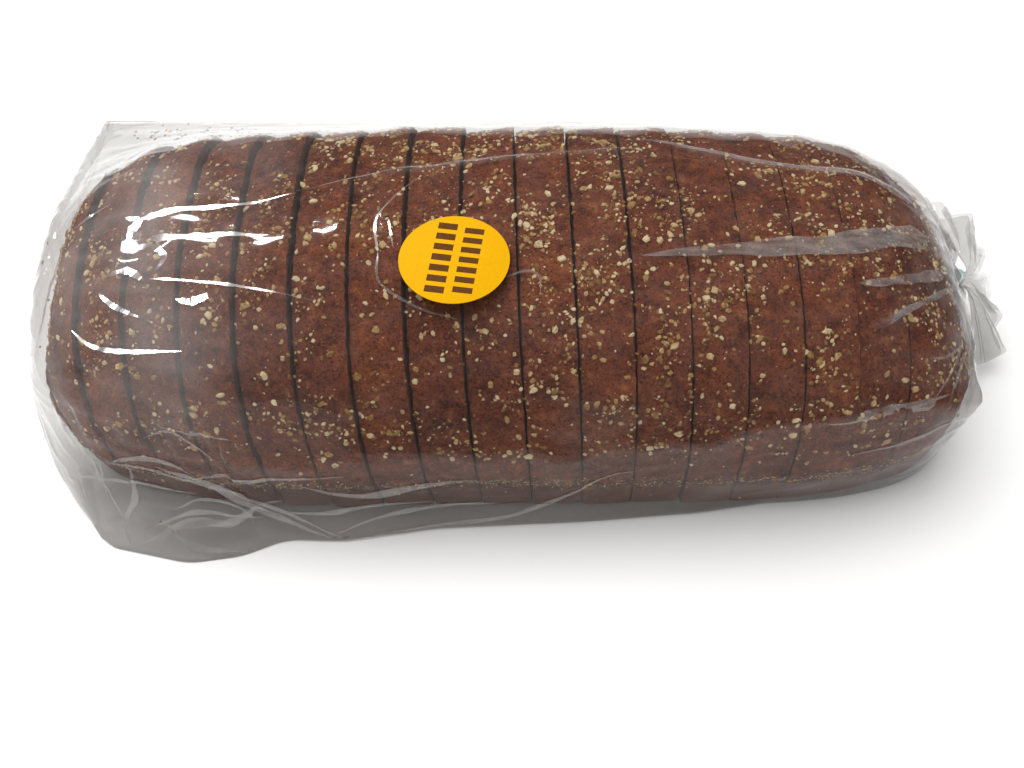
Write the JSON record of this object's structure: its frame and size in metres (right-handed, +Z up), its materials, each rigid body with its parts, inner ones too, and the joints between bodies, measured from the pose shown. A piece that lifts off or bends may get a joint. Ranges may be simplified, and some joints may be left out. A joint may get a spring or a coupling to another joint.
{
  "type": "sliced loaf in a bread bag",
  "caption": "Sliced wholegrain pan loaf with an oat-flaked crust, shut in a clear film bread bag with a heat-sealed end, a gathered neck and a round label; lies flat on its base.",
  "frame": {"origin": "middle of the flat underside, where the pack rests", "axes": "+X along the loaf, from the bag's sealed end to its gathered neck; +Y from the front side to the back; +Z up"},
  "size_m": [0.3667, 0.1611, 0.0989],
  "materials": {
    "clear_film": "clear glossy polythene film with soft creases over a dark brown oat-flaked crust",
    "bread": "dry dark reddish-brown wholegrain crust with pale oat flakes",
    "clear_tape": "clear pale blue-green sealing tape",
    "label_paper": "smooth coated paper, bright yellow-orange with plain brown bars"
  },
  "bodies": {
    "root": {"bread_bag": "clear_film", "neck_tape": "clear_tape", "round_label": "label_paper"}
  },
  "joints": []
}
